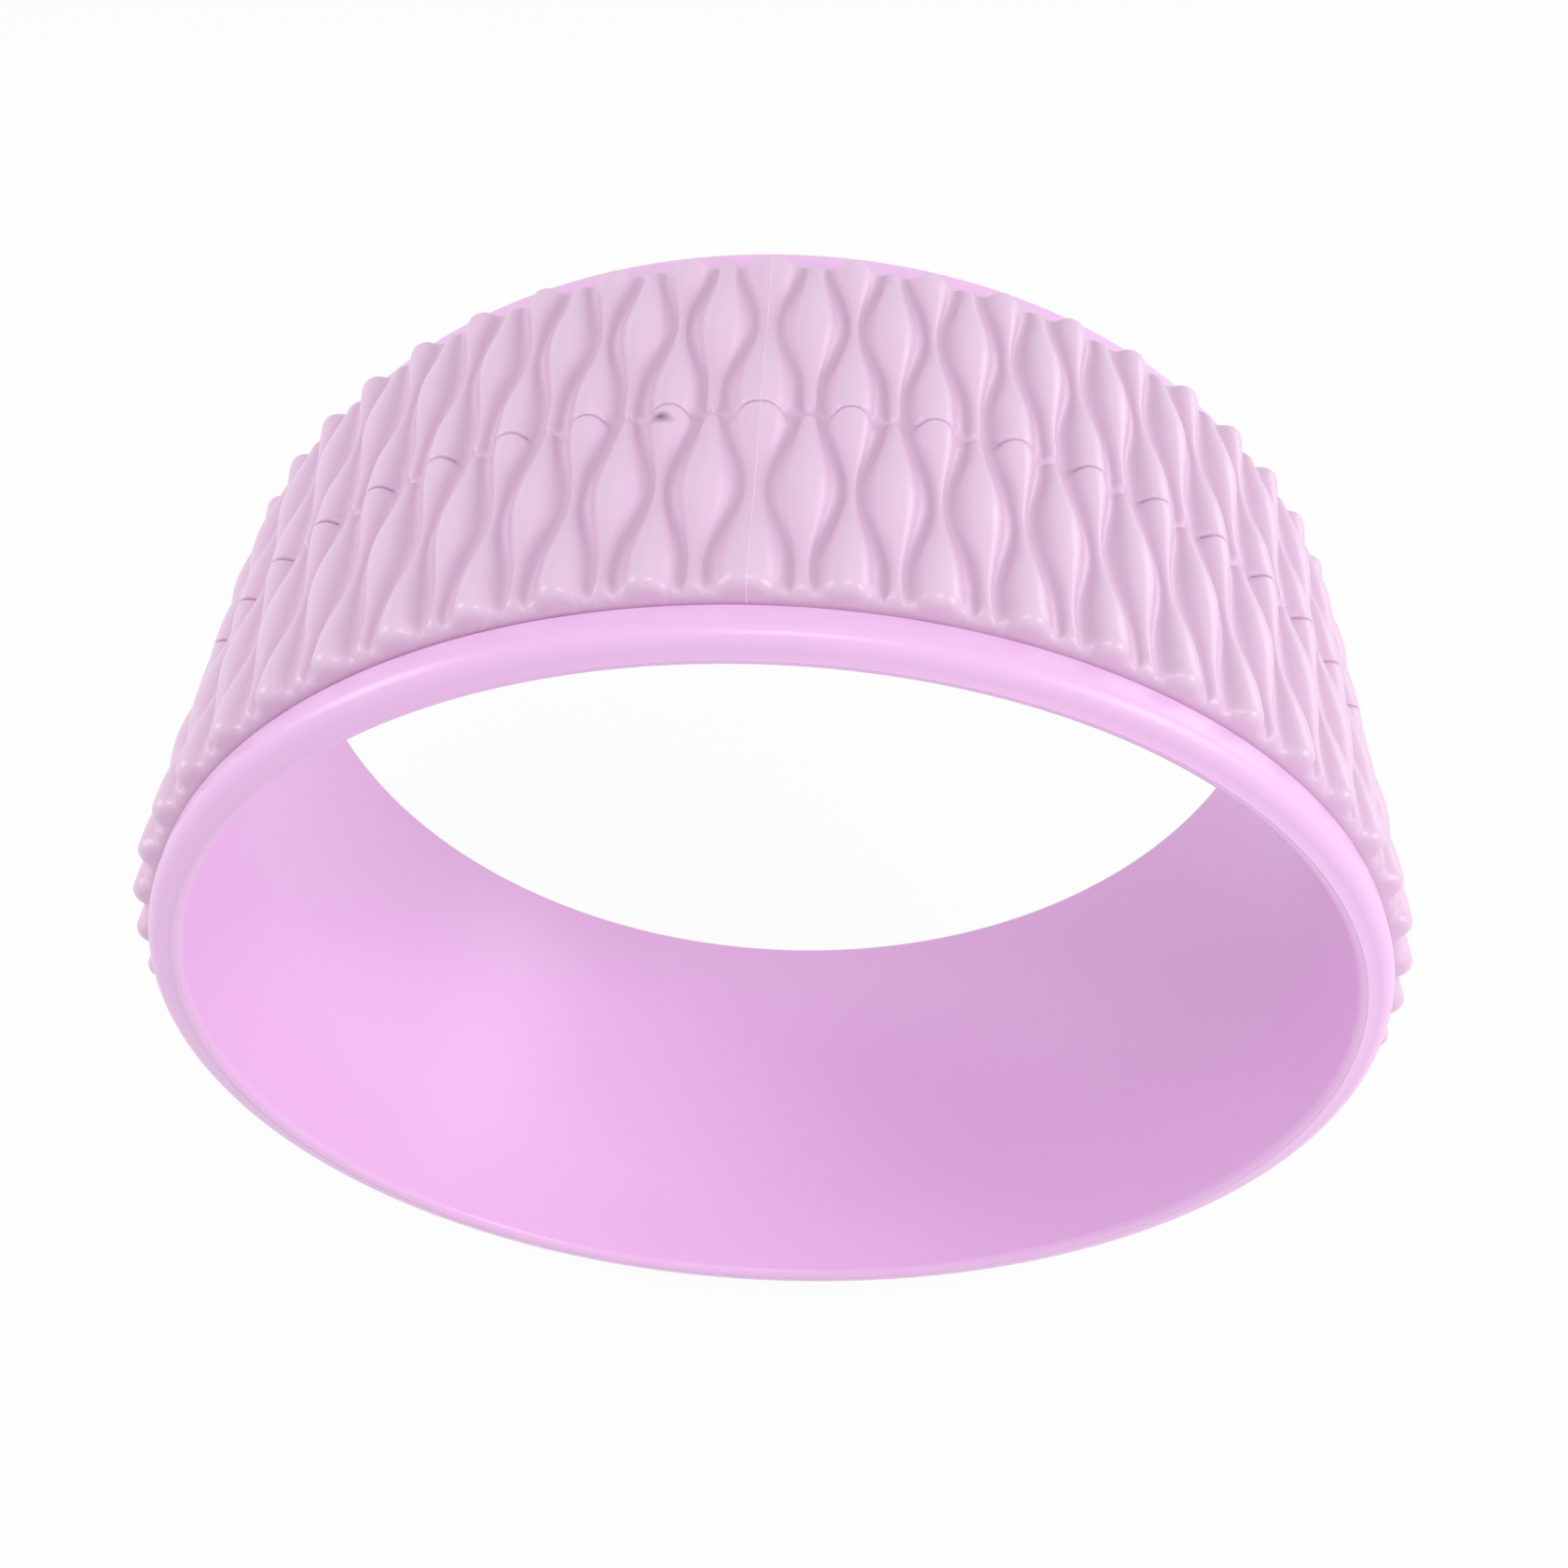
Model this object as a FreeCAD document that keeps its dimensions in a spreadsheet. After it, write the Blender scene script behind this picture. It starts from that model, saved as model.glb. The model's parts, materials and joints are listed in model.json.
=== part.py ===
import FreeCAD, Part
import Sketcher

import math
import os

# A yoga wheel: a moulded hoop with a rounded rim at each side, and between the rims a shallow channel
# that holds a soft strip moulded with two rows of massage ridges. The strip is bonded down all round
# by an adhesive film, and its two ends meet in a glued butt joint.
# The wheel's axis is Y and its centre is the origin. It stands on its ridges, with +Z up.

doc = FreeCAD.newDocument("yoga_wheel")

# Driving sizes in millimetres, apart from the shares, which are parts of a row's length

SIZES = {
    "bore_diameter": 300.0,      # clear opening of the hoop
    "overall_width": 130.0,      # rim face to rim face
    "hoop_wall": 7.0,            # hoop thickness under the strip
    "channel_depth": 2.0,        # how far the rims stand above the channel floor
    "rim_band": 8.5,             # width of each bare rim
    "rim_outer_round": 4.0,      # rounding of the rims' outer corners
    "rim_inner_round": 2.0,      # rounding of the bore's edges
    "shoulder_round": 0.5,       # rounding where the rims drop into the channel
    "film_thickness": 0.3,       # adhesive under the strip
    "bond_clearance": 0.1,       # film to strip, so that the curved faces stay clear of each other
    "near_edge_gap": 0.4,        # strip's near edge to the channel's side
    "far_edge_gap": 1.8,         # strip's far edge to the channel's other side
    "strip_base": 4.2,           # strip thickness in the valleys between ridges
    "ridge_pitch": 18.0,         # nominal pitch of the ridges, measured round the valleys
    "gourd_height": 3.45,        # crest of a gourd ridge above the valleys, at its base
    "gourd_head_width": 12.7,
    "gourd_waist_width": 3.9,
    "gourd_base_width": 13.0,
    "waist_start_share": 0.38,   # where a gourd's waist starts, from its head
    "waist_end_share": 0.48,     # where the waist ends
    "base_share": 0.82,          # where the base reaches its full width
    "end_ease_length": 2.0,      # easing of the ridge ends, along the row
    "end_ease_drop": 1.2,        # and towards the wheel's axis
    "seam_allowance": 2.0,       # extra strip length in the ridge that holds the joint
    "seam_gap": 0.3,             # width of the glued butt joint
    "bead_rise": 0.15,           # how far the glue stands above the joint
}

sheet = doc.addObject("Spreadsheet::Sheet", "sizes")
for number, (name, value) in enumerate(SIZES.items(), start=1):
    sheet.set(f"A{number}", name)
    sheet.set(f"B{number}", str(value))
    sheet.setAlias(f"B{number}", name)
doc.recompute()


def size(name):
    return float(sheet.get(name))


# Radii and widths that follow from the driving sizes, as values and as expressions on the sheet

bore_radius = size("bore_diameter") / 2
floor_radius = bore_radius + size("hoop_wall")
rim_radius = floor_radius + size("channel_depth")
film_radius = floor_radius + size("film_thickness")
underside_radius = film_radius + size("bond_clearance")
valley_radius = underside_radius + size("strip_base")
channel_width = size("overall_width") - 2 * size("rim_band")
near_edge = size("near_edge_gap") - channel_width / 2
far_edge = channel_width / 2 - size("far_edge_gap")
row_length = (far_edge - near_edge) / 2

BORE_RADIUS = "sizes.bore_diameter / 2"
FLOOR_RADIUS = f"({BORE_RADIUS} + sizes.hoop_wall)"
RIM_RADIUS = f"({FLOOR_RADIUS} + sizes.channel_depth)"
FILM_RADIUS = f"({FLOOR_RADIUS} + sizes.film_thickness)"
UNDERSIDE_RADIUS = f"({FILM_RADIUS} + sizes.bond_clearance)"
CHANNEL_WIDTH = "(sizes.overall_width - 2 * sizes.rim_band)"
STRIP_WIDTH = f"({CHANNEL_WIDTH} - sizes.near_edge_gap - sizes.far_edge_gap)"
NEAR_EDGE = f"(sizes.near_edge_gap - {CHANNEL_WIDTH} / 2)"

Z_TO_WHEEL_AXIS = FreeCAD.Rotation(FreeCAD.Vector(1, 0, 0), -90)


# Hoop: one turned profile with a channel between two rims, then its edges rounded

def origin_plane(body, role):
    return next(feature for feature in body.Origin.OriginFeatures if feature.Role == role)


def draw_hoop_profile(body):
    """Half-section of the hoop: sketch X is the radius, and sketch Y lies along the wheel's axis."""
    sketch = body.newObject("Sketcher::SketchObject", "hoop_profile")
    sketch.AttachmentSupport = [(origin_plane(body, "XY_Plane"), "")]
    sketch.MapMode = "FlatFace"
    face = size("overall_width") / 2
    wall = channel_width / 2
    face_at = "sizes.overall_width / 2"
    wall_at = f"{CHANNEL_WIDTH} / 2"
    # Corners in order, each with the expressions that hold its radius and its place along the axis
    corners = [
        (bore_radius, -face, BORE_RADIUS, face_at),
        (rim_radius, -face, RIM_RADIUS, face_at),
        (rim_radius, -wall, RIM_RADIUS, wall_at),
        (floor_radius, -wall, FLOOR_RADIUS, wall_at),
        (floor_radius, wall, FLOOR_RADIUS, wall_at),
        (rim_radius, wall, RIM_RADIUS, wall_at),
        (rim_radius, face, RIM_RADIUS, face_at),
        (bore_radius, face, BORE_RADIUS, face_at),
    ]
    points = [FreeCAD.Vector(radius, along, 0) for radius, along, _, _ in corners]
    start, end, root = 1, 2, (-1, 1)
    for index, point in enumerate(points):
        following = points[(index + 1) % len(points)]
        sketch.addGeometry(Part.LineSegment(point, following), False)
    for index in range(len(points)):
        following = (index + 1) % len(points)
        sketch.addConstraint(Sketcher.Constraint("Coincident", index, end, following, start))
    for index, (radius, along, radius_at, along_at) in enumerate(corners):
        across = sketch.addConstraint(Sketcher.Constraint("DistanceX", *root, index, start, radius))
        sketch.setExpression(f"Constraints[{across}]", radius_at)
        if along < 0:
            place = Sketcher.Constraint("DistanceY", index, start, *root, -along)
        else:
            place = Sketcher.Constraint("DistanceY", *root, index, start, along)
        lengthwise = sketch.addConstraint(place)
        sketch.setExpression(f"Constraints[{lengthwise}]", along_at)
    return sketch


def circles_at(shape, radius, along):
    """Names of the circular edges of this radius, at plus and minus this place along the axis."""
    names = []
    for number, edge in enumerate(shape.Edges, start=1):
        if not isinstance(edge.Curve, Part.Circle):
            continue
        same_radius = abs(edge.Curve.Radius - radius) < 1e-4
        same_place = abs(abs(edge.Curve.Center.y) - along) < 1e-4
        if same_radius and same_place:
            names.append(f"Edge{number}")
    return names


def round_edges(body, name, radius, along, round_name):
    base = body.Tip
    fillet = body.newObject("PartDesign::Fillet", name)
    fillet.Base = (base, circles_at(base.Shape, radius, along))
    fillet.setExpression("Radius", f"sizes.{round_name}")
    doc.recompute()


def make_hoop():
    body = doc.addObject("PartDesign::Body", "hoop")
    sketch = draw_hoop_profile(body)
    turned = body.newObject("PartDesign::Revolution", "turned_hoop")
    turned.Profile = sketch
    turned.ReferenceAxis = (sketch, ["V_Axis"])
    turned.Angle = 360
    doc.recompute()
    face = size("overall_width") / 2
    round_edges(body, "outer_corners", rim_radius, face, "rim_outer_round")
    round_edges(body, "bore_edges", bore_radius, face, "rim_inner_round")
    round_edges(body, "channel_shoulders", rim_radius, channel_width / 2, "shoulder_round")
    return body


# Adhesive film: a thin sleeve on the channel floor, as wide as the strip

def make_cylinder(name, radius_expression):
    """A cylinder on the wheel's axis, from the strip's near edge to its far edge."""
    cylinder = doc.addObject("Part::Cylinder", name)
    cylinder.setExpression("Radius", radius_expression)
    cylinder.setExpression("Height", STRIP_WIDTH)
    cylinder.Placement = FreeCAD.Placement(FreeCAD.Vector(0, near_edge, 0), Z_TO_WHEEL_AXIS)
    cylinder.setExpression("Placement.Base.y", NEAR_EDGE)
    return cylinder


def make_cut(name, base, tool):
    cut = doc.addObject("Part::Cut", name)
    cut.Base = base
    cut.Tool = tool
    return cut


def make_adhesive():
    outside = make_cylinder("film_outside", FILM_RADIUS)
    inside = make_cylinder("film_inside", FLOOR_RADIUS)
    return make_cut("pad_adhesive", outside, inside)


# Massage strip: gourd and spindle ridges by turns round the wheel, in two rows side by side.
# A gourd is wide where its neighbours, the spindles, are narrow. Every cross-section of the strip is
# a ring of circular arches that meet in the valleys, and the strip is lofted through those rings.
# The joint runs along the crest of the gourd at the top. An even number of gourds puts another one
# opposite, and the wheel stands on the two spindles beside that one, because they are a little higher.

valley_length = 2 * math.pi * valley_radius - size("seam_allowance")
ridge_count = 2 * round(valley_length / size("ridge_pitch") / 2)
pitch = valley_length / ridge_count
pitch_angle = pitch / valley_radius


def on_wheel(radius, angle, along):
    """Point at this radius, this angle round the wheel from the top, and this place along the axis."""
    return FreeCAD.Vector(radius * math.sin(angle), along, radius * math.cos(angle))


def arch_rise(half_width):
    """Height of a ridge where it is this wide: all the arches have the same proportions."""
    return half_width * size("gourd_height") / (size("gourd_base_width") / 2)


belly_half_width = (pitch - size("gourd_waist_width")) / 2
crest_radius = valley_radius + arch_rise(belly_half_width)


def row_sections():
    """Sections of one row: distance from its head end, gourd half-width there and drop of the ridges."""
    head = size("gourd_head_width") / 2
    waist = size("gourd_waist_width") / 2
    base = size("gourd_base_width") / 2
    ease = size("end_ease_length")
    drop = size("end_ease_drop")
    return [
        (0, head, drop),
        (ease, head, 0),
        (size("waist_start_share") * row_length, waist, 0),
        (size("waist_end_share") * row_length, waist, 0),
        (size("base_share") * row_length, base, 0),
        (row_length - ease, base, 0),
        (row_length, base, drop),
    ]


def strip_sections():
    """Sections of the whole strip: place along the axis, gourd half-width and drop.

    Both rows have their heads towards +Y. The second row starts in the crease where the first ends.
    """
    first_row = [(far_edge - place, half, drop) for place, half, drop in row_sections()]
    second_row = [(along - row_length, half, drop) for along, half, drop in first_row]
    return first_row + second_row[1:]


def make_arch(middle_angle, half_angle, rise, along, drop):
    foot = valley_radius - drop
    return Part.Arc(
        on_wheel(foot, middle_angle - half_angle, along),
        on_wheel(foot + rise, middle_angle, along),
        on_wheel(foot, middle_angle + half_angle, along),
    ).toShape()


def make_ring_of_arches(along, gourd_half, drop):
    spindle_half = pitch / 2 - gourd_half
    gourd_angle = gourd_half / valley_radius
    spindle_angle = spindle_half / valley_radius
    allowance_angle = size("seam_allowance") / 2 / valley_radius
    gourd_height = arch_rise(gourd_half)
    spindle_height = arch_rise(spindle_half)
    arches = [make_arch(0, gourd_angle + allowance_angle, gourd_height, along, drop)]
    for number in range(ridge_count):
        gourd_before = allowance_angle + number * pitch_angle
        spindle_place = gourd_before + pitch_angle / 2
        arches.append(make_arch(spindle_place, spindle_angle, spindle_height, along, drop))
        if number < ridge_count - 1:
            arches.append(make_arch(gourd_before + pitch_angle, gourd_angle, gourd_height, along, drop))
    return Part.Wire(arches)


def make_strip_cutter():
    """What is cut from the ridged drum: its bore, and a thin slab where the strip's ends meet."""
    bore = make_cylinder("strip_bore", UNDERSIDE_RADIUS)
    slab = doc.addObject("Part::Box", "seam_slab")
    slab.setExpression("Length", "sizes.seam_gap")
    slab.setExpression("Width", STRIP_WIDTH)
    slab.Height = crest_radius
    slab.Placement.Base = FreeCAD.Vector(-size("seam_gap") / 2, near_edge, bore_radius)
    cutter = doc.addObject("Part::Fuse", "strip_cutter")
    cutter.Base = bore
    cutter.Tool = slab
    return cutter


def make_massage_pad():
    rings = []
    for number, (along, gourd_half, drop) in enumerate(strip_sections(), start=1):
        ring = doc.addObject("Part::Feature", f"ridge_section_{number}")
        ring.Shape = make_ring_of_arches(along, gourd_half, drop)
        rings.append(ring)
    ridged = doc.addObject("Part::Loft", "ridged_drum")
    ridged.Sections = rings
    ridged.Solid = True
    ridged.Ruled = True
    return make_cut("massage_pad", ridged, make_strip_cutter())


# Seam bead: the glue that fills the butt joint, a little proud of the crest that it runs along

def make_seam_bead():
    crest = []
    for along, gourd_half, drop in strip_sections():
        height = valley_radius + arch_rise(gourd_half) - drop + size("bead_rise")
        crest.append(FreeCAD.Vector(0, along, height))
    foot = [FreeCAD.Vector(0, edge, underside_radius) for edge in (near_edge, far_edge)]
    outline = doc.addObject("Part::Feature", "bead_outline")
    outline.Shape = Part.Face(Part.makePolygon(crest + foot + crest[:1]))
    bead = doc.addObject("Part::Extrusion", "seam_bead")
    bead.Base = outline
    bead.DirMode = "Custom"
    bead.Dir = FreeCAD.Vector(1, 0, 0)
    bead.Solid = True
    bead.Symmetric = True
    bead.setExpression("LengthFwd", "sizes.seam_gap")
    return bead


pieces = [make_hoop(), make_adhesive(), make_massage_pad(), make_seam_bead()]
for piece in pieces:
    piece.Label = piece.Name
doc.recompute()

for item in doc.Objects:
    if "Invalid" in item.State or "Error" in item.State:
        raise RuntimeError(f"{item.Name} failed: {item.State}")
for piece in pieces:
    if piece.Shape.isNull() or not piece.Shape.isValid():
        raise RuntimeError(f"{piece.Label} has no valid shape")

os.makedirs("parts", exist_ok=True)
for piece in pieces:
    piece.Shape.exportStep(f"parts/{piece.Label}.step")
    box = piece.Shape.optimalBoundingBox(False)
    print(f"{piece.Label}: {len(piece.Shape.Solids)} solid, {piece.Shape.Volume / 1000:.1f} cm3, "
          f"{box.XLength:.2f} x {box.YLength:.2f} x {box.ZLength:.2f} mm")
print(f"{ridge_count} gourds a row at a pitch of {pitch:.3f} mm, crest radius {crest_radius:.2f} mm")
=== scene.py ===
# %% [markdown]
# # A yoga wheel
# The wheel is a smooth plastic hoop with a soft strip wrapped round it. The strip is moulded with two
# rows of massage ridges: gourds and spindles by turns, each wide where its neighbours are narrow.
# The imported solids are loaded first, because they fix every size and place. What follows puts a finer
# skin on them: a turned hoop, a strip with rounded ridges, the glue in its joint, and their finishes.

import json
import math
from collections import namedtuple

import bmesh
import bpy
from mathutils import Matrix, Vector


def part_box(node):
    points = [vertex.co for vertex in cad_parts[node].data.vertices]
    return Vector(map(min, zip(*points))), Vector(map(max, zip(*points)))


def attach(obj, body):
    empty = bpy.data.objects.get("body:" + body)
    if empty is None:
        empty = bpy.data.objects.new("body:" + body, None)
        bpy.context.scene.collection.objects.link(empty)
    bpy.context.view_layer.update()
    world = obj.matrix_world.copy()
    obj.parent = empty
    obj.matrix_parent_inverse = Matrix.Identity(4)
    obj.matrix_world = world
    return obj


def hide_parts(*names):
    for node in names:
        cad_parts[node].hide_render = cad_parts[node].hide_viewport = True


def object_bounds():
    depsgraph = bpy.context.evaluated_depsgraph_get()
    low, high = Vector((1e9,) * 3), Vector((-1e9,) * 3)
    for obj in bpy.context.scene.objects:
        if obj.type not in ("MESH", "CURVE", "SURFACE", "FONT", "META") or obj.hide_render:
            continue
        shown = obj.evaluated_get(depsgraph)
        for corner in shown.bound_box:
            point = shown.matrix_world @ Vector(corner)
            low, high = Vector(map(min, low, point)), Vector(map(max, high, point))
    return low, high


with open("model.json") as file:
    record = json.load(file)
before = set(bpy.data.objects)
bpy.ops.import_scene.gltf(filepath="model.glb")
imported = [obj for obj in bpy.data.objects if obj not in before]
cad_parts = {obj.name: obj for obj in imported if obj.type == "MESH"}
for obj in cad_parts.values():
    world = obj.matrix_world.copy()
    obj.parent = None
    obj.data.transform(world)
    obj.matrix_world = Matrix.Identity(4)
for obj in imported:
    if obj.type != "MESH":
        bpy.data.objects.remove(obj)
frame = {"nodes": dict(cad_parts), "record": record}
solid_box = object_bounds()
print("solids:", sorted(frame["nodes"]))

# %% [markdown]
# ## Sizes
# Lengths are in metres, as everywhere in Blender, so a millimetre gets a name. The hoop's outline is
# read from the solids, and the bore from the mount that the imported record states.

# %% Sizes that the pieces share
MM = 0.001

hoop_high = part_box("hoop")[1]
strip_low, strip_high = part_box("massage_pad")
mounts = {mount["name"]: mount for mount in frame["record"]["mounts"]}
bore_radius = mounts["bore"]["dims"]["r_mm"] * MM
rim_radius = hoop_high.x
face_place = hoop_high.y
strip_width = strip_high.y - strip_low.y
print(f"bore {bore_radius:.4f} m, rim {rim_radius:.4f} m, strip {strip_width:.4f} m wide")

# %% [markdown]
# ## Making meshes
# Every new piece is drawn in a bmesh, which holds a mesh while operators work on it. The helper below
# turns a finished bmesh into an object that rides on the wheel. Doubled vertices are merged first, so
# that the faces share their corners, and then the normals can be turned outwards and smoothed.

# %% Helpers for new pieces
MERGE_DISTANCE = 0.002 * MM
SHARP_ANGLE = math.radians(50)


def finish_piece(name, bm, material_slot, *stands_for):
    """Closes the bmesh into an object that replaces these nodes and rides on the wheel."""
    bmesh.ops.remove_doubles(bm, verts=bm.verts, dist=MERGE_DISTANCE)
    bmesh.ops.recalc_face_normals(bm, faces=bm.faces)
    for face in bm.faces:
        face.smooth = True
    mesh = bpy.data.meshes.new(name)
    bm.to_mesh(mesh)
    bm.free()
    mesh.set_sharp_from_angle(angle=SHARP_ANGLE)
    piece = bpy.data.objects.new(name, mesh)
    bpy.context.scene.collection.objects.link(piece)
    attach(piece, "root")
    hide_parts(*stands_for)
    mesh.calc_loop_triangles()
    print(f"{name}: {len(mesh.loop_triangles)} triangles")
    return piece


# %% [markdown]
# ## The hoop
# The hoop is one moulding, the same all the way round. It could be cut and bevelled out of a tube, but
# its outline says more about it, so that is drawn once and spun. The outline starts as eight corners:
# the bore, the two rims and the channel between them. A bevel on the corners gives the rounding that a
# moulding has. On each side face a fine line of flash runs round, where two parts of the mould met.

# %% Outline of the hoop
WALL_UNDER_STRIP = 7.0 * MM
RIM_WIDTH = 8.5 * MM
FLOOR_RADIUS = bore_radius + WALL_UNDER_STRIP
CHANNEL_WALL = face_place - RIM_WIDTH
OUTER_ROUND = 4.0 * MM
BORE_ROUND = 2.0 * MM
SHOULDER_ROUND = 0.5 * MM
FLASH_FROM_BORE = 2.3 * MM
FLASH_WIDTH = 0.4 * MM
FLASH_HEIGHT = 0.2 * MM
ROUND_STEPS = 8
HOOP_STEPS = 288


def bevel_corners(bm, corners, radius):
    bmesh.ops.bevel(
        bm, geom=corners, offset=radius, offset_type="OFFSET", affect="VERTICES",
        segments=ROUND_STEPS, profile=0.5, material=-1)


def flash_line(side):
    """Three corners of the flash on this side face, from the bore outwards."""
    middle = bore_radius + FLASH_FROM_BORE
    return [
        (middle - FLASH_WIDTH / 2, side * face_place),
        (middle, side * (face_place + FLASH_HEIGHT)),
        (middle + FLASH_WIDTH / 2, side * face_place),
    ]


def hoop_corners():
    return [
        (bore_radius, -face_place),
        *flash_line(-1),
        (rim_radius, -face_place),
        (rim_radius, -CHANNEL_WALL),
        (FLOOR_RADIUS, -CHANNEL_WALL),
        (FLOOR_RADIUS, CHANNEL_WALL),
        (rim_radius, CHANNEL_WALL),
        (rim_radius, face_place),
        *reversed(flash_line(1)),
        (bore_radius, face_place),
    ]


def corners_at(bm, radius, along):
    """The outline's corners at this radius, on both sides of the wheel."""
    places = [Vector((radius, side * along, 0)) for side in (-1, 1)]
    return [
        vert for vert in bm.verts
        if min((vert.co - place).length for place in places) < MERGE_DISTANCE
    ]


# %% Spin the outline
def make_hoop():
    bm = bmesh.new()
    bm.faces.new([bm.verts.new((radius, along, 0)) for radius, along in hoop_corners()])
    bevel_corners(bm, corners_at(bm, rim_radius, face_place), OUTER_ROUND)
    bevel_corners(bm, corners_at(bm, bore_radius, face_place), BORE_ROUND)
    bevel_corners(bm, corners_at(bm, rim_radius, CHANNEL_WALL), SHOULDER_ROUND)
    bmesh.ops.delete(bm, geom=list(bm.faces), context="FACES_ONLY")
    bmesh.ops.spin(
        bm, geom=list(bm.edges), cent=(0, 0, 0), axis=(0, 1, 0), angle=2 * math.pi,
        steps=HOOP_STEPS, use_merge=True)
    return finish_piece("turned_hoop", bm, "hoop_plastic", "hoop")


hoop = make_hoop()

# %% [markdown]
# ## The massage strip
# Seen flat, the strip is a sheet with ridges side by side. They could be sculpted, but a moulding repeats
# exactly, so one stretch is drawn and repeated. Where a gourd narrows to its waist, the spindles beside
# it swell, so one curve, the gourd's half-width, places the valleys between them.

# %% Plan of the ridges
PITCH_RADIUS = 160.6 * MM
GOURD_COUNT = 56
SEAM_ALLOWANCE = 2.5 * MM
PITCH = (2 * math.pi * PITCH_RADIUS - SEAM_ALLOWANCE) / GOURD_COUNT
PITCH_ANGLE = PITCH / PITCH_RADIUS

HEAD_HALF = 6.35 * MM
WAIST_HALF = 1.95 * MM
BASE_HALF = 6.5 * MM
WAIST_SHARE = 0.44
BASE_SHARE = 0.86


def between(start, end, share):
    return start + (end - start) * share


def ease(start, end, share):
    """Goes from start to end with no slope at either, as the share goes from 0 to 1."""
    share = min(share, 1)
    return between(start, end, share * share * (3 - 2 * share))


def gourd_half(share):
    """Half-width of a gourd at this share of the row, from its head to its base."""
    if share < WAIST_SHARE:
        return ease(HEAD_HALF, WAIST_HALF, share / WAIST_SHARE)
    return ease(WAIST_HALF, BASE_HALF, (share - WAIST_SHARE) / (BASE_SHARE - WAIST_SHARE))


print(f"{GOURD_COUNT} gourds in a row, {PITCH / MM:.2f} mm apart")

# %% [markdown]
# ### A ridge's flank
# Cut across, every ridge has the same shape: a round crest and a hollow valley, two arcs that meet
# without a corner on the flank. The arcs are squashed to the ridge's rise, which makes the crest
# broader. Wide ridges are high and narrow ones low, because lengths here are counted in half-widths.

# %% Flank
RISE = 0.59
VALLEY_SHARE = 0.34
FLANK_TURN = math.radians(63)
CREST_ROUND = (1 - VALLEY_SHARE) / math.sin(FLANK_TURN)
VALLEY_ROUND = VALLEY_SHARE / math.sin(FLANK_TURN)
SQUASH = RISE / math.tan(FLANK_TURN / 2)
CREST_COLUMNS = 4
VALLEY_COLUMNS = 3
FLANK_COLUMNS = CREST_COLUMNS + VALLEY_COLUMNS


def flank_point(column):
    """Distance from the crest's middle and height above the valley, in half-widths.

    The columns are numbered from the crest and make equal turns on either arc.
    """
    if column < CREST_COLUMNS:
        turn = FLANK_TURN * column / CREST_COLUMNS
        return CREST_ROUND * math.sin(turn), RISE - SQUASH * CREST_ROUND * (1 - math.cos(turn))
    turn = FLANK_TURN * (FLANK_COLUMNS - column) / VALLEY_COLUMNS
    return 1 - VALLEY_ROUND * math.sin(turn), SQUASH * VALLEY_ROUND * (1 - math.cos(turn))


def across_ridges(column, half):
    """Distance from a gourd's middle and height above the valley.

    Past the valley, the columns climb the flank of the next spindle to its crest.
    """
    if column <= FLANK_COLUMNS:
        across, height = flank_point(column)
        return half * across, half * height
    across, height = flank_point(2 * FLANK_COLUMNS - column)
    spindle_half = PITCH / 2 - half
    return PITCH / 2 - spindle_half * across, spindle_half * height


steepest = math.degrees(math.atan(SQUASH * math.tan(FLANK_TURN)))
print(f"flanks up to {steepest:.0f} degrees steep")

# %% [markdown]
# ### Rows and their ends
# Both rows have their heads towards the far rim, and between them runs a crease. Every end of a row has
# a wall and a round corner above it. At the strip's edges the walls go right down, and the corners are
# roundest on the flanks, which makes the end of a gourd bulge like a loaf. In the crease it is the low
# necks that are rounder, so the crease is a soft groove at the necks and a thin slit at the gourds.

# %% Rows
RowEnd = namedtuple("RowEnd", "valley_round flank_round crest_round valley_depth crest_depth draft")
Row = namedtuple("Row", "start length head base")

VALLEY_RADIUS = 161.2 * MM
UNDERSIDE_RADIUS = 157.4 * MM
CREST_HEIGHT = BASE_HALF * RISE
FAR_ROW_LENGTH = 56.3 * MM

base_thickness = VALLEY_RADIUS - UNDERSIDE_RADIUS
strip_edge = RowEnd(
    valley_round=1.6 * MM, flank_round=3.8 * MM, crest_round=2.8 * MM,
    valley_depth=base_thickness, crest_depth=base_thickness + CREST_HEIGHT, draft=0.3 * MM)
crease = RowEnd(
    valley_round=3.6 * MM, flank_round=2.2 * MM, crest_round=0.5 * MM,
    valley_depth=0.25 * MM, crest_depth=3.2 * MM, draft=0.3 * MM)
far_row = Row(strip_high.y, FAR_ROW_LENGTH, strip_edge, crease)
near_row = Row(strip_high.y - FAR_ROW_LENGTH, strip_width - FAR_ROW_LENGTH, crease, strip_edge)


def corner_radius(end, height):
    """Radius of the corner at a column of this height: from valley to half height, then to crest."""
    level = 2 * height / CREST_HEIGHT
    if level < 1:
        return ease(end.valley_round, end.flank_round, level)
    return ease(end.flank_round, end.crest_round, level - 1)


def round_corner(end, height, share):
    """Distance in from a row's end and sinking there, from the wall (0) to the top of the corner (1)."""
    radius = corner_radius(end, height)
    turn = math.pi / 2 * share
    return end.draft + radius * (1 - math.cos(turn)), radius * (1 - math.sin(turn))


def wall_depth(end, height):
    return between(end.valley_depth, end.crest_depth, height / CREST_HEIGHT)


# %% [markdown]
# ### Stations along the strip
# The strip's section is drawn as a closed run of stations: up the far wall, round its corner, along the
# far row, through the crease, along the near row, down the near wall and back underneath. Each station
# belongs to a part of a row and lies at a share of that part.

# %% Stations
ROW_STEPS = 18
CORNER_STEPS = 5


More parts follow.
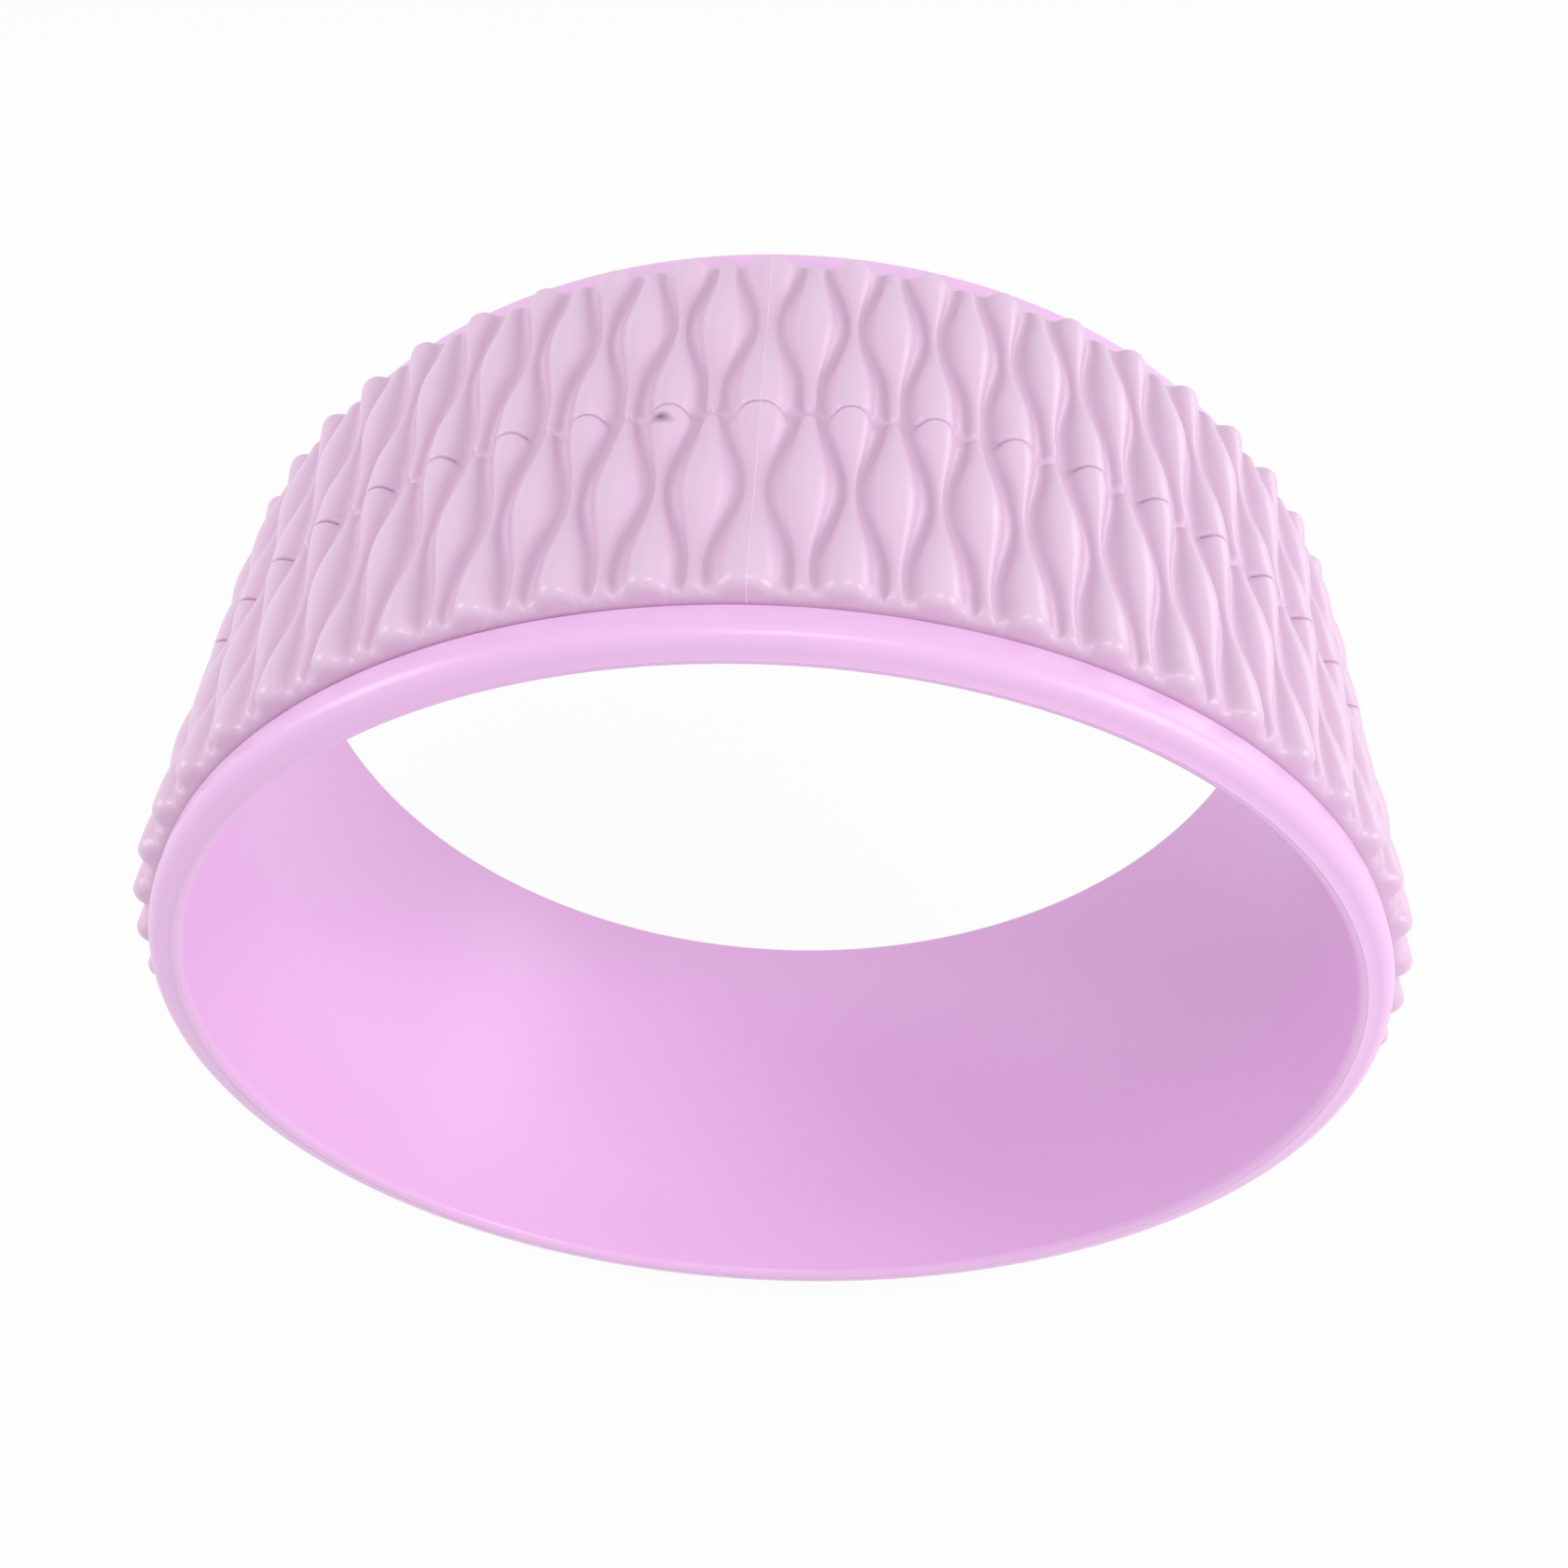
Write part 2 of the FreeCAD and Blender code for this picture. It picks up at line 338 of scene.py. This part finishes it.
def row_stations(row):
    corner = [number / CORNER_STEPS for number in range(CORNER_STEPS + 1)]
    stations = [(row, "head wall", 0)]
    stations += [(row, "head corner", share) for share in corner]
    stations += [(row, "body", number / ROW_STEPS) for number in range(1, ROW_STEPS)]
    stations += [(row, "base corner", share) for share in reversed(corner)]
    return stations + [(row, "base wall", 0)]


def along_row(station, head_height, base_height):
    """Distance from the row's head and sinking there, at a column with these heights at its ends."""
    row, part, share = station
    if part == "head wall":
        return 0, wall_depth(row.head, head_height)
    if part == "base wall":
        return row.length, wall_depth(row.base, base_height)
    head_inset, head_sink = round_corner(row.head, head_height, share if part == "head corner" else 1)
    base_inset, base_sink = round_corner(row.base, base_height, share if part == "base corner" else 1)
    if part == "head corner":
        return head_inset, min(head_sink, wall_depth(row.head, head_height))
    if part == "base corner":
        return row.length - base_inset, min(base_sink, wall_depth(row.base, base_height))
    return between(head_inset, row.length - base_inset, share), 0


stations = row_stations(far_row) + row_stations(near_row)
stations.append(stations[0])
print(f"{len(stations)} stations along the strip")

# %% [markdown]
# ### Points of the strip
# A mesh line runs along every column, so the lines follow the valleys however the ridges swing from
# side to side. The gourd that holds the joint is a little wider, and it leaves a gap for the glue.

# %% Place a point of the strip
SEAM_GAP = 0.2 * MM


def on_wheel(radius, across, along):
    """Point at this radius, at this distance from the top measured round the pitch circle."""
    angle = across / PITCH_RADIUS
    return Vector((radius * math.sin(angle), along, radius * math.cos(angle)))


def strip_point(column, side, station, extra, gap):
    """Point on one side of a gourd, which is this much wider than the rest and has this gap."""
    row = station[0]
    head_height = across_ridges(column, HEAD_HALF)[1]
    base_height = across_ridges(column, BASE_HALF)[1]
    place, sink = along_row(station, head_height, base_height)
    half = gourd_half(place / row.length)
    across, height = across_ridges(column, half)
    if column <= FLANK_COLUMNS:
        across = gap / 2 + across * (half + extra / 2 - gap / 2) / half
    else:
        across += extra / 2
    return on_wheel(VALLEY_RADIUS + height - sink, side * across, row.start - place)


# %% Draw a stretch of strip and repeat it
def add_flank(bm, side, extra=0, gap=0):
    """Adds a grid from a gourd's crest to the next spindle's crest, and bends it into ridges."""
    rows = len(stations) - 1
    columns = 2 * FLANK_COLUMNS
    grid = bmesh.ops.create_grid(bm, x_segments=columns, y_segments=rows, size=1)["verts"]
    for vert in grid:
        column = round((vert.co.x + 1) / 2 * columns)
        station = stations[round((vert.co.y + 1) / 2 * rows)]
        vert.co = strip_point(column, side, station, extra, gap)


def turn_about_axis(bm, verts, angle):
    bmesh.ops.rotate(bm, verts=verts, cent=(0, 0, 0), matrix=Matrix.Rotation(angle, 3, "Y"))


def make_massage_strip():
    bm = bmesh.new()
    for side in (-1, 1):
        add_flank(bm, side)
    turn_about_axis(bm, bm.verts, PITCH_ANGLE + SEAM_ALLOWANCE / 2 / PITCH_RADIUS)
    repeats = GOURD_COUNT - 2
    bmesh.ops.spin(
        bm, geom=bm.verts[:] + bm.edges[:] + bm.faces[:], cent=(0, 0, 0), axis=(0, 1, 0),
        angle=repeats * PITCH_ANGLE, steps=repeats, use_duplicate=True)
    for side in (-1, 1):
        add_flank(bm, side, SEAM_ALLOWANCE, SEAM_GAP)
    bmesh.ops.remove_doubles(bm, verts=bm.verts, dist=MERGE_DISTANCE)
    ends = [edge for edge in bm.edges if edge.is_boundary]
    bmesh.ops.edgeloop_fill(bm, edges=ends)
    return finish_piece("massage_strip", bm, "pad_elastomer", "massage_pad")


massage_strip = make_massage_strip()

# %% [markdown]
# ## The glued joint
# The strip's two ends meet on a gourd's crest, and glue fills the gap and stands a little proud of it.
# It shows as a thin pale line. It is drawn as the strip is, from the same stations: a grid whose columns
# go up one side of the gap, over the top and down the other.

# %% Draw the glue
BEAD_RISE = 0.08 * MM
BEAD_OVERLAP = 0.03 * MM
BEAD_COLUMNS = 6


def bead_point(share, station):
    """Point of the glue's skin, with the share going from 0 to 1 over it."""
    row = station[0]
    place, sink = along_row(station, HEAD_HALF * RISE, BASE_HALF * RISE)
    crest = VALLEY_RADIUS + gourd_half(place / row.length) * RISE - sink
    turn = math.pi * (share - 0.5)
    across = (SEAM_GAP / 2 + BEAD_OVERLAP) * math.sin(turn)
    return on_wheel(crest + BEAD_RISE * math.cos(turn), across, row.start - place)


def make_glue_line():
    bm = bmesh.new()
    rows = len(stations) - 1
    grid = bmesh.ops.create_grid(bm, x_segments=BEAD_COLUMNS, y_segments=rows, size=1)["verts"]
    for vert in grid:
        station = stations[round((vert.co.y + 1) / 2 * rows)]
        vert.co = bead_point((vert.co.x + 1) / 2, station)
    bmesh.ops.remove_doubles(bm, verts=bm.verts, dist=MERGE_DISTANCE)
    sides = [edge for edge in bm.edges if edge.is_boundary]
    bmesh.ops.edgeloop_fill(bm, edges=sides)
    return finish_piece("glue_line", bm, "seam_glue", "seam_bead")


glue_line = make_glue_line()

# %% [markdown]
# ## Finishes
# A finish is a node tree. Writing it as arithmetic keeps it readable, so one small class wraps a
# socket and turns each operator into a Math node. Every other node comes from one method.

# %% Shader arithmetic
class Signal:
    """A shader socket that works in Python expressions."""

    def __init__(self, finish, socket):
        self.finish = finish
        self.socket = socket

    def math(self, operation, *values):
        return self.finish.node("ShaderNodeMath", {"operation": operation}, dict(enumerate(values)))

    def __add__(self, other):
        return self.math("ADD", self, other)

    def __radd__(self, other):
        return self.math("ADD", other, self)

    def __sub__(self, other):
        return self.math("SUBTRACT", self, other)

    def __rsub__(self, other):
        return self.math("SUBTRACT", other, self)

    def __mul__(self, other):
        return self.math("MULTIPLY", self, other)

    def __rmul__(self, other):
        return self.math("MULTIPLY", other, self)

    def __truediv__(self, other):
        return self.math("DIVIDE", self, other)

    def __pow__(self, other):
        return self.math("POWER", self, other)

    def clamped(self):
        return self.finish.node("ShaderNodeClamp", {}, {"Value": self})


class Finish:
    """A material under construction."""

    def __init__(self, name):
        self.material = bpy.data.materials.new(name)
        self.material.use_nodes = True
        self.tree = self.material.node_tree
        self.tree.nodes.clear()
        self.output = self.tree.nodes.new("ShaderNodeOutputMaterial")

    def node(self, kind, settings, inputs, output=0):
        """Adds a node: settings first, then values or links for its sockets. Returns one output."""
        made = self.tree.nodes.new(kind)
        for setting, value in settings.items():
            setattr(made, setting, value)
        for key, value in inputs.items():
            if isinstance(value, Signal):
                self.tree.links.new(value.socket, made.inputs[key])
            else:
                made.inputs[key].default_value = value
        return Signal(self, made.outputs[output])

    def object_place(self):
        return self.node("ShaderNodeTexCoord", {}, {}, "Object")

    def noise(self, place, scale, detail):
        return self.node("ShaderNodeTexNoise", {}, {"Vector": place, "Scale": scale, "Detail": detail})

    def vector(self, operation, first, second):
        return self.node("ShaderNodeVectorMath", {"operation": operation}, {0: first, 1: second})

    def dot(self, first, second):
        settings = {"operation": "DOT_PRODUCT"}
        return self.node("ShaderNodeVectorMath", settings, {0: first, 1: second}, "Value")

    def length(self, vector):
        return self.node("ShaderNodeVectorMath", {"operation": "LENGTH"}, {0: vector}, "Value")

    def mix(self, share, first, second):
        """Mixes two colours."""
        settings = {"data_type": "RGBA"}
        return self.node("ShaderNodeMix", settings, {0: share, 6: first, 7: second}, 2)

    def bump(self, height, strength, distance):
        inputs = {"Height": height, "Strength": strength, "Distance": distance}
        return self.node("ShaderNodeBump", {}, inputs)

    def surface(self, shader):
        self.tree.links.new(shader.socket, self.output.inputs["Surface"])
        return self.material


def colour(red, green, blue):
    """A colour given as a screen shows it, from 0 to 255, as Blender's linear values."""
    def linear(value):
        share = value / 255
        return share / 12.92 if share <= 0.04045 else ((share + 0.055) / 1.055) ** 2.4
    return (linear(red), linear(green), linear(blue), 1.0)


def dress(piece, material):
    piece.data.materials.clear()
    piece.data.materials.append(material)


# %% [markdown]
# ### Hoop plastic
# The hoop is moulded in a smooth plastic, coloured right through, with a satin gloss. The gloss isn't
# even, because hands leave duller smudges on it, and the colour varies slightly where the melt flowed.
# Noise gives both: a broad one for the flow and a finer one for the smudges.

# %% Hoop plastic
def make_hoop_plastic():
    finish = Finish("hoop_plastic")
    place = finish.object_place()
    flow = finish.noise(place, 9.0, 2.0)
    tint = finish.mix(flow, colour(240, 192, 239), colour(245, 198, 244))
    smudges = finish.noise(place, 60.0, 3.0)
    shader = finish.node("ShaderNodeBsdfPrincipled", {}, {
        "Base Color": tint,
        "Roughness": 0.29 + smudges * 0.06,
        "IOR": 1.5,
    })
    return finish.surface(shader)


dress(hoop, make_hoop_plastic())

# %% [markdown]
# ### Strip elastomer
# The strip is a soft, rubbery plastic, duller and greyer than the hoop. A mould with a fine grain
# gives it a silky surface. Painted shade makes its valleys a little darker than the crests, and the
# crests, which hands polish, are a little glossier. A small dark spot is painted beside the crease, on
# the next gourd to the left of the joint.

# %% Strip elastomer
# Height over which the painted valley shade fades out and the crests' gloss comes in.
SHADE_AND_POLISH_HEIGHT = 4.0 * MM
GRAIN_SCALE = 2200.0
GRAIN_STRENGTH = 0.15
GRAIN_DEPTH = 0.05 * MM
# A small dark oval spot is painted into the strip's colour here, beside the crease.
DARK_SPOT_PLACE = on_wheel(164.8 * MM, -20.5 * MM, -5.5 * MM)
DARK_SPOT_ALONG = (0.84, -0.42, 0.36)
DARK_SPOT_ACROSS = (0.45, 0.89, 0.0)
DARK_SPOT_HALF_LENGTH = 3.6 * MM
DARK_SPOT_HALF_WIDTH = 1.9 * MM


def make_strip_elastomer():
    finish = Finish("strip_elastomer")
    place = finish.object_place()
    height = finish.length(finish.vector("MULTIPLY", place, (1, 0, 1)))
    from_dark_spot = finish.vector("SUBTRACT", place, DARK_SPOT_PLACE)
    dark_spot_along = finish.dot(from_dark_spot, DARK_SPOT_ALONG) / DARK_SPOT_HALF_LENGTH
    dark_spot_across = finish.dot(from_dark_spot, DARK_SPOT_ACROSS) / DARK_SPOT_HALF_WIDTH
    dark_spot = (1 - (dark_spot_along ** 2 + dark_spot_across ** 2) ** 0.5).clamped()
    # Painted shade: this mask darkens the colour in the valleys and also makes the crests glossier.
    crest = ((height - VALLEY_RADIUS) / SHADE_AND_POLISH_HEIGHT).clamped()
    clouds = finish.noise(place, 25.0, 3.0)
    skin = finish.mix(clouds, colour(230, 198, 226), colour(236, 205, 232))
    # Painted shade: the valleys take this darker colour, the crests the skin's own.
    shaded_skin = finish.mix(crest, colour(225, 190, 219), skin)
    # The small dark spot's colour is painted over the skin inside its oval.
    tint = finish.mix(dark_spot, shaded_skin, colour(125, 88, 115))
    grain = finish.noise(place, GRAIN_SCALE, 2.0)
    shader = finish.node("ShaderNodeBsdfPrincipled", {}, {
        "Base Color": tint,
        "Roughness": 0.32 - crest * 0.04,
        "IOR": 1.48,
        "Normal": finish.bump(grain, GRAIN_STRENGTH, GRAIN_DEPTH),
    })
    return finish.surface(shader)


dress(massage_strip, make_strip_elastomer())

# %% [markdown]
# ### Glue and adhesive
# The glue in the joint dries paler than the strip in some places and matches it in others. The adhesive
# film under the strip hardly shows, only its edge in the gap beside the rim.

# %% Glue and adhesive
BLOTCH_CONTRAST = 3.0


def make_glue(name, first, second, scale, gloss):
    """A finish that goes between two colours in blotches. The scale is in blotches to a metre."""
    finish = Finish(name)
    place = finish.object_place()
    blotches = (0.5 + (finish.noise(place, scale, 2.0) - 0.5) * BLOTCH_CONTRAST).clamped()
    shader = finish.node("ShaderNodeBsdfPrincipled", {}, {
        "Base Color": finish.mix(blotches, first, second),
        "Roughness": gloss + blotches * 0.1,
        "Normal": finish.bump(blotches, 0.3, 0.1 * MM),
    })
    return finish.surface(shader)


seam_glue = make_glue("seam_glue", colour(231, 200, 226), colour(244, 222, 241), 55.0, 0.35)
film_adhesive = make_glue("film_adhesive", colour(214, 205, 192), colour(226, 218, 204), 400.0, 0.6)
dress(glue_line, seam_glue)
dress(frame["nodes"]["pad_adhesive"], film_adhesive)

# %% [markdown]
# ## Floor and light
# The wheel stands on a white floor. A real white floor photographs a little grey, so rays that come
# from the camera or from a reflection see it mostly as a white glow, and it still keeps a little of the
# wheel's soft shadow.

# %% Floor
FLOOR_SIZE = 6.0
GLOW_SHARE = 0.92
WHITE = (1, 1, 1, 1)
RAYS_THAT_SEE_WHITE = ("Camera", "Glossy", "Transmission")


def make_floor_paint():
    finish = Finish("floor_paint")
    paint = finish.node("ShaderNodeBsdfDiffuse", {}, {"Color": (0.9, 0.9, 0.9, 1)})
    glow = finish.node("ShaderNodeEmission", {}, {"Color": WHITE, "Strength": 1.0})
    rays = [finish.node("ShaderNodeLightPath", {}, {}, f"Is {kind} Ray") for kind in RAYS_THAT_SEE_WHITE]
    share = sum(rays) * GLOW_SHARE
    return finish.surface(finish.node("ShaderNodeMixShader", {}, {0: share, 1: paint, 2: glow}))


def make_floor():
    bm = bmesh.new()
    bmesh.ops.create_grid(bm, x_segments=1, y_segments=1, size=FLOOR_SIZE / 2)
    bmesh.ops.translate(bm, verts=bm.verts, vec=(0, 0, solid_box[0].z))
    mesh = bpy.data.meshes.new("floor")
    bm.to_mesh(mesh)
    bm.free()
    floor = bpy.data.objects.new("floor", mesh)
    bpy.context.scene.collection.objects.link(floor)
    dress(floor, make_floor_paint())


make_floor()

# %% [markdown]
# ### Lamps
# A broad soft lamp stands on either side, the stronger one on the right, so that every ridge is bright
# on the flank that faces its side and darker on the other. Two weak lamps light the bore: one above
# reaches in from the front, and one behind on the right reaches its left wall. The sky fills the rest.
# The camera and reflections see the sky white, as they do the floor.

# %% Sky and lamps
SKY_STRENGTH = 0.54


def make_sky():
    world = bpy.data.worlds.new("studio_sky")
    world.use_nodes = True
    bpy.context.scene.world = world
    tree = world.node_tree
    tree.nodes.clear()
    output = tree.nodes.new("ShaderNodeOutputWorld")
    rays = tree.nodes.new("ShaderNodeLightPath")
    strength = tree.nodes.new("ShaderNodeMapRange")
    strength.inputs["To Min"].default_value = SKY_STRENGTH
    strength.inputs["To Max"].default_value = 1.0
    sky = tree.nodes.new("ShaderNodeBackground")
    sky.inputs["Color"].default_value = WHITE
    seen = rays.outputs["Is Camera Ray"]
    for kind in RAYS_THAT_SEE_WHITE[1:]:
        either = tree.nodes.new("ShaderNodeMath")
        either.operation = "MAXIMUM"
        tree.links.new(seen, either.inputs[0])
        tree.links.new(rays.outputs[f"Is {kind} Ray"], either.inputs[1])
        seen = either.outputs[0]
    tree.links.new(seen, strength.inputs["Value"])
    tree.links.new(strength.outputs["Result"], sky.inputs["Strength"])
    tree.links.new(sky.outputs["Background"], output.inputs["Surface"])


def add_lamp(name, place, size, power):
    """Adds a rectangular lamp that is aimed at the wheel's centre, which is the origin."""
    lamp = bpy.data.lights.new(name, "AREA")
    lamp.shape = "RECTANGLE"
    lamp.size = size[0]
    lamp.size_y = size[1]
    lamp.energy = power
    holder = bpy.data.objects.new(name, lamp)
    holder.location = place
    holder.rotation_mode = "QUATERNION"
    holder.rotation_quaternion = (-Vector(place)).to_track_quat("-Z", "Y")
    bpy.context.scene.collection.objects.link(holder)


make_sky()
add_lamp("right_lamp", (1.1, -0.5, 0.6), (0.6, 0.45), 5.6)
add_lamp("rear_lamp", (1.0, 0.6, 0.3), (0.7, 0.5), 1.7)
add_lamp("left_lamp", (-1.15, 0.05, 0.65), (0.6, 0.45), 4.4)
add_lamp("top_lamp", (0.1, -0.6, 1.3), (0.5, 0.25), 3.8)
bpy.context.scene.view_settings.view_transform = "Standard"

# %% [markdown]
# ## Camera
# The camera's height, distance and lens were found by fitting the rims, bore and ridges of a wheel of
# this size to the photograph. It looks down at the standing wheel, with a slight roll.

# %% Camera
PICTURE_PIXELS = 1682
SENSOR_WIDTH = 36.0
FOCAL_PIXELS = 1678.1
CAMERA_AZIMUTH = math.radians(3.857)
CAMERA_ELEVATION = math.radians(49.770)
CAMERA_ROLL = math.radians(-1.706)
CAMERA_DISTANCE = 456.32 * MM
CAMERA_ASIDE = 0.04 * MM
CAMERA_ABOVE = 32.68 * MM
SHIFT_PIXELS = (8.7, -42.8)
NEAREST_SEEN = 10 * MM


def make_camera():
    data = bpy.data.cameras.new("camera")
    data.sensor_width = SENSOR_WIDTH
    data.lens = FOCAL_PIXELS / PICTURE_PIXELS * SENSOR_WIDTH
    data.shift_x = SHIFT_PIXELS[0] / PICTURE_PIXELS
    data.shift_y = SHIFT_PIXELS[1] / PICTURE_PIXELS
    data.clip_start = NEAREST_SEEN
    turn = Matrix.Rotation(CAMERA_AZIMUTH, 4, "Z")
    turn @= Matrix.Rotation(math.pi / 2 - CAMERA_ELEVATION, 4, "X")
    turn @= Matrix.Rotation(CAMERA_ROLL, 4, "Z")
    offset = Vector((CAMERA_ASIDE, CAMERA_ABOVE, CAMERA_DISTANCE))
    camera = bpy.data.objects.new("camera", data)
    camera.matrix_world = Matrix.Translation(turn @ offset) @ turn
    bpy.context.scene.collection.objects.link(camera)
    bpy.context.scene.camera = camera
    return camera


camera = make_camera()
print("camera at", [round(value, 4) for value in camera.matrix_world.translation])
